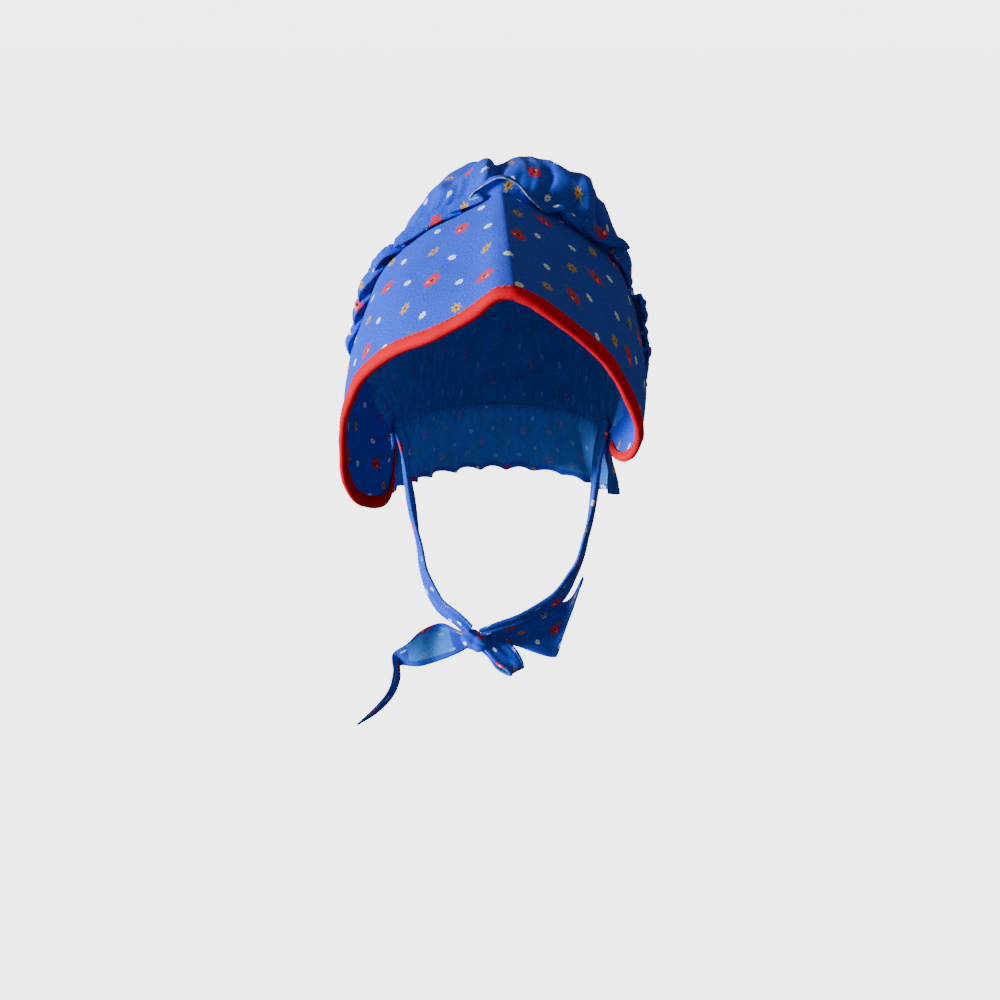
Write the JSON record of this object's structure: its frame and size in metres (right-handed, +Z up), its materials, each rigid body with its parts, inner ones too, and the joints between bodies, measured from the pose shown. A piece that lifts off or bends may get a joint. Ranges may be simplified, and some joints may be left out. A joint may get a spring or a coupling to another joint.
{
  "type": "prairie bonnet",
  "caption": "Sunbonnet in small-flowered blue cotton with a stiff ridged brim, red bound edge, gathered crown, seam frill, neck curtain and ties knotted low in front.",
  "frame": {"origin": "top of the hollow, where the bonnet rests on the top of the wearer's head", "axes": "+Z up, brim and face opening towards -Y, +X to the right as seen from the front"},
  "size_m": [0.1718, 0.2246, 0.2939],
  "materials": {
    "printed_cotton": "matt plain-weave cotton, royal blue with small scattered flowers",
    "red_binding": "matt folded cotton bias tape, bright red"
  },
  "bodies": {
    "root": {"brim": "printed_cotton", "edge_binding": "red_binding", "crown": "printed_cotton", "frill": "printed_cotton", "neck_curtain": "printed_cotton", "left_tie": "printed_cotton", "right_tie": "printed_cotton", "knot": "printed_cotton", "left_tail": "printed_cotton", "right_tail": "printed_cotton", "bow_loop": "printed_cotton"}
  },
  "joints": []
}
